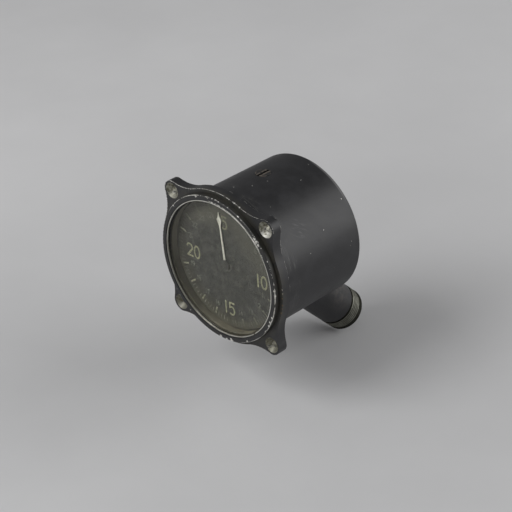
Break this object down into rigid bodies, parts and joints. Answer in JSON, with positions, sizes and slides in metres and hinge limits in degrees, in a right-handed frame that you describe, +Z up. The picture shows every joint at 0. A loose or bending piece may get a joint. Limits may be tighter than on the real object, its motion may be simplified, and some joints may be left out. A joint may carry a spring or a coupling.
{
  "type": "centrifugal tachometer",
  "caption": "Round panel tachometer with an eared flange, glazed dial and lance pointer, driven from a threaded elbow through a bevel pair, flyweight governor and toothed sector.",
  "frame": {"origin": "centre of the flange's rear face, which seats on the panel, on the case axis", "axes": "+Y to the rear along the case axis, +Z up, +X to the right when the dial is faced"},
  "size_m": [0.0812, 0.0966, 0.1127],
  "materials": {
    "black_paint": "satin black enamel on a light-alloy casting, worn at the edges",
    "clear_glass": "clear flat glass",
    "black_gasket": "black sealing ring",
    "bright_steel": "bright plated spring wire",
    "dial_black": "faded matt dial",
    "cream_paint": "cream paint",
    "steel": "turned steel",
    "spring_bronze": "spring bronze",
    "brass": "turned and milled brass",
    "bronze": "bearing bronze",
    "cast_alloy": "bare light alloy",
    "worn_nickel": "worn plated brass, dulled to olive grey"
  },
  "bodies": {
    "housing": {"case": "black_paint", "cover_glass": "clear_glass", "glass_gasket": "black_gasket", "snap_ring": "bright_steel", "dial": "dial_black", "hairspring": "spring_bronze", "hairspring_stud": "brass", "front_plate": "brass", "rear_plate": "brass", "plate_pillars": "brass", "plate_screws": "steel", "movement_posts": "brass", "movement_screws": "steel", "sector_stop_pins": "steel", "governor_frame": "cast_alloy", "frame_screws": "steel", "lower_bush": "bronze", "upper_bush": "bronze", "inner_drive_bush": "bronze", "outer_drive_bush": "bronze", "drive_nipple": "worn_nickel", "oil_plug": "steel"},
    "rock": {"rock_shaft": "steel", "sector_gear": "brass", "collar_fork": "steel"},
    "pointer_group": {"pointer_arbor": "steel", "pointer": "cream_paint", "hairspring_collet": "brass"},
    "governor": {"governor_shaft": "steel", "governor_gear": "steel", "flyweight_carrier": "brass", "flyweight_pins": "steel", "spring_seat_nut": "brass", "governor_spring": "steel"},
    "collar": {"sliding_collar": "steel"},
    "flyweight_r": {"flyweight_right": "brass"},
    "flyweight_l": {"flyweight_left": "brass"},
    "drive": {"drive_shaft": "steel", "drive_gear": "steel"}
  },
  "joints": [
    {"name": "governor_spin", "type": "hinge", "parent": "housing", "child": "governor", "pos_m": [0, 0.0285, 0], "axis": [0, 0, 1], "continuous": true},
    {"name": "drive_spin", "type": "hinge", "parent": "housing", "child": "drive", "pos_m": [0, 0.0285, -0.012], "axis": [0, 0.7071, -0.7071], "continuous": true},
    {"name": "sector_rock", "type": "hinge", "parent": "housing", "child": "rock", "pos_m": [0.0085, 0, 0.02083], "axis": [0, 1, 0], "range_deg": [0, 40]},
    {"name": "pointer_turn", "type": "hinge", "parent": "housing", "child": "pointer_group", "pos_m": [0, 0, 0], "axis": [0, 1, 0], "range_deg": [-360, 0], "deforming": ["hairspring"]},
    {"name": "collar_lift", "type": "slide", "parent": "governor", "child": "collar", "axis": [0, 0, 1], "range_m": [0, 0.00581], "deforming": ["governor_spring"]},
    {"name": "flyweight_right_swing", "type": "hinge", "parent": "governor", "child": "flyweight_r", "pos_m": [0.0095, 0.0285, 0.007], "axis": [0, 1, 0], "range_deg": [0, 54.96]},
    {"name": "flyweight_left_swing", "type": "hinge", "parent": "governor", "child": "flyweight_l", "pos_m": [-0.0095, 0.0285, 0.007], "axis": [0, -1, 0], "range_deg": [0, 54.96]}
  ],
  "couplings": [
    {"joint": "drive_spin", "follows": "governor_spin", "ratio": -1},
    {"joint": "sector_rock", "follows": "collar_lift", "rad_per_m": 120.07},
    {"joint": "pointer_turn", "follows": "collar_lift", "rad_per_m": -1080.6},
    {"joint": "flyweight_right_swing", "follows": "collar_lift", "rad_per_m": 164.98},
    {"joint": "flyweight_left_swing", "follows": "collar_lift", "rad_per_m": 164.98}
  ]
}
